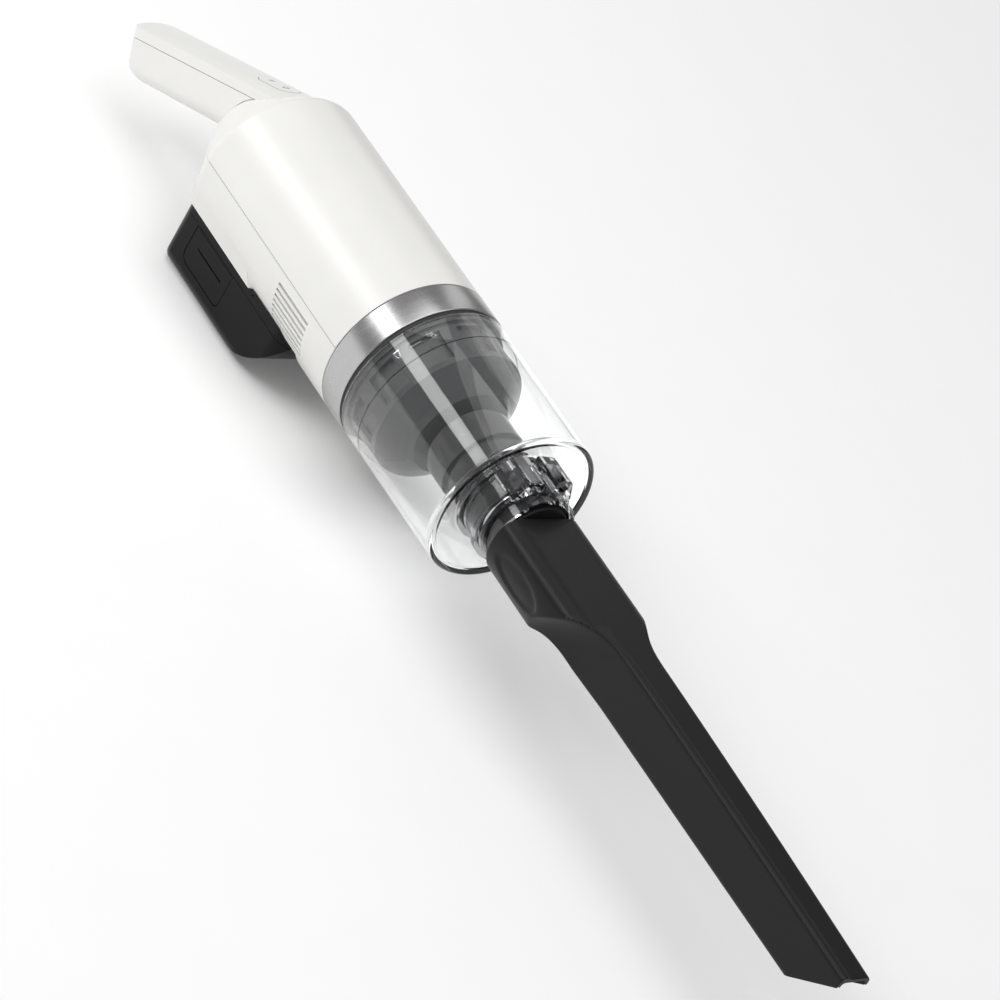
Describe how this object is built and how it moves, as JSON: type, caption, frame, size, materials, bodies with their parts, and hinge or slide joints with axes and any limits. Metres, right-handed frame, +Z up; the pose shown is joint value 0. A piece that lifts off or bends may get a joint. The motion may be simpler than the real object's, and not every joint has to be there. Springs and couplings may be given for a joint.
{
  "type": "handheld vacuum cleaner",
  "caption": "Cordless handheld vacuum: white round body with drooping handle, clip-in battery, silver trim ring, clear twist-off dust bin with filter, and long black crevice tool.",
  "frame": {"origin": "centre of the flat underside of the battery, on which the vacuum stands", "axes": "+X forward toward the nozzle, +Z up, +Y to the vacuum's left"},
  "size_m": [0.6361, 0.086, 0.1035],
  "materials": {
    "shell_white": "satin moulded, fine grain",
    "battery_black": "fine moulded texture",
    "tool_black": "fine moulded texture",
    "trim_silver": "satin painted",
    "bin_clear": "clear moulded polycarbonate",
    "smoke_plastic": "translucent smoke grey",
    "inner_black": "moulded",
    "steel": "brushed",
    "screw_steel": "zinc plated",
    "rubber_black": "matte",
    "filter_paper": "pleated non-woven",
    "foam_grey": "open-cell foam",
    "board_green": "solder mask",
    "cell_wrap": "heat-shrink wrap",
    "nickel": "plated strip",
    "fan_alloy": "machined"
  },
  "bodies": {
    "motor_unit": {"upper_shell": "shell_white", "belly_housing": "shell_white", "handle_grip": "shell_white", "handle_screws": "screw_steel", "housing_screws": "screw_steel", "trim_ring": "trim_silver", "rear_bulkhead": "inner_black", "fan_shroud": "smoke_plastic", "motor_can": "steel", "motor_cap": "inner_black", "motor_mounts": "rubber_black", "control_board": "board_green", "exhaust_foam": "foam_grey", "terminal_block": "inner_black", "button_switch": "inner_black"},
    "fan": {"impeller": "fan_alloy", "rotor": "steel"},
    "button": {"power_button": "shell_white"},
    "lock_ring": {"bayonet_ring": "rubber_black"},
    "dust_bin": {"bin_shell": "bin_clear", "inlet_neck": "bin_clear", "inlet_duct": "smoke_plastic", "flap_pin": "screw_steel"},
    "flap": {"inlet_flap": "rubber_black"},
    "filter_unit": {"filter_frame": "smoke_plastic", "filter_mesh": "steel", "filter_pleats": "filter_paper", "filter_seal": "rubber_black"},
    "battery": {"battery_tray": "battery_black", "battery_lid": "battery_black", "battery_cells": "cell_wrap", "cell_straps": "nickel", "battery_screws": "screw_steel"},
    "release_button_right": {"release_right": "battery_black"},
    "release_button_left": {"release_left": "battery_black"},
    "tool": {"crevice_tool": "tool_black", "tool_seal": "rubber_black"}
  },
  "joints": [
    {"name": "power_button_press", "type": "slide", "parent": "motor_unit", "child": "button", "axis": [0.3811, 0, -0.9245], "range_m": [0, 0.0015], "stiffness_N_per_m": 600},
    {"name": "fan_spin", "type": "hinge", "parent": "motor_unit", "child": "fan", "pos_m": [0.068, 0, 0.0605], "axis": [1, 0, 0], "continuous": true},
    {"name": "bin_twist", "type": "hinge", "parent": "motor_unit", "child": "lock_ring", "pos_m": [0.1052, 0, 0.0605], "axis": [1, 0, 0], "range_deg": [0, 25]},
    {"name": "bin_pull", "type": "slide", "parent": "lock_ring", "child": "dust_bin", "axis": [1, 0, 0], "range_m": [0, 0.2]},
    {"name": "filter_pull", "type": "slide", "parent": "motor_unit", "child": "filter_unit", "axis": [1, 0, 0], "range_m": [0, 0.1]},
    {"name": "flap_swing", "type": "hinge", "parent": "dust_bin", "child": "flap", "pos_m": [0.1687, 0, 0.0751], "axis": [0, 1, 0], "range_deg": [0, 45], "stiffness_Nm_per_rad": 0.01},
    {"name": "battery_drop", "type": "slide", "parent": "motor_unit", "child": "battery", "axis": [0, 0, -1], "range_m": [0, 0.04]},
    {"name": "release_right_press", "type": "slide", "parent": "battery", "child": "release_button_right", "axis": [0, 1, 0], "range_m": [0, 0.0022], "stiffness_N_per_m": 900},
    {"name": "release_left_press", "type": "slide", "parent": "battery", "child": "release_button_left", "axis": [0, -1, 0], "range_m": [0, 0.0022], "stiffness_N_per_m": 900},
    {"name": "tool_pull", "type": "slide", "parent": "dust_bin", "child": "tool", "axis": [1, 0, 0], "range_m": [0, 0.06]}
  ],
  "couplings": [
    {"joint": "filter_pull", "follows": "bin_pull", "ratio": 0.5}
  ]
}
